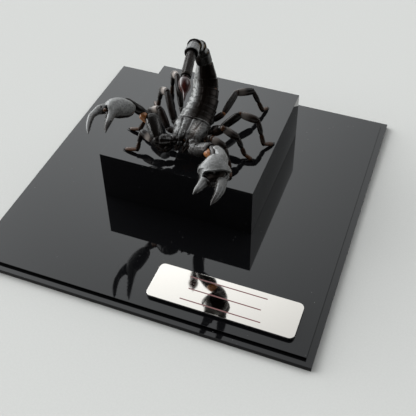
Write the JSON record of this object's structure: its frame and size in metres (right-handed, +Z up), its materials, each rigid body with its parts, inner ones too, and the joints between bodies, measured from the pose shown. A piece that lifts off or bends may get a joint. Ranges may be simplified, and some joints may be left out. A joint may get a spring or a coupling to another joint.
{
  "type": "mounted scorpion on black display block",
  "caption": "Dried scorpion with raised pincers and arched tail, standing on a glossy black block on a thin square base with a mirror label plate.",
  "frame": {"origin": "middle of the base's underside", "axes": "+Z up; the scorpion faces -Y, and its left side is towards +X; the label plate is near the -Y edge"},
  "size_m": [0.212, 0.212, 0.1057],
  "materials": {
    "base_acrylic": "polished black sheet",
    "block_acrylic": "polished black, mirror-like",
    "label_mirror": "mirror-polished, warm silver",
    "cuticle": "dried near-black exoskeleton, satin with fine grains",
    "sting": "dark red-brown, satin",
    "leg_cuticle": "dark brown, satin"
  },
  "bodies": {
    "root": {"base_lower_sheet": "base_acrylic", "base_upper_sheet": "base_acrylic", "display_block": "block_acrylic", "label_plate": "label_mirror", "scorpion_body": "cuticle", "tail": "cuticle", "telson": "sting", "pincer_left": "cuticle", "pincer_right": "cuticle", "leg_left_1": "leg_cuticle", "leg_left_2": "leg_cuticle", "leg_left_3": "leg_cuticle", "leg_left_4": "leg_cuticle", "leg_right_1": "leg_cuticle", "leg_right_2": "leg_cuticle", "leg_right_3": "leg_cuticle", "leg_right_4": "leg_cuticle"}
  },
  "joints": []
}
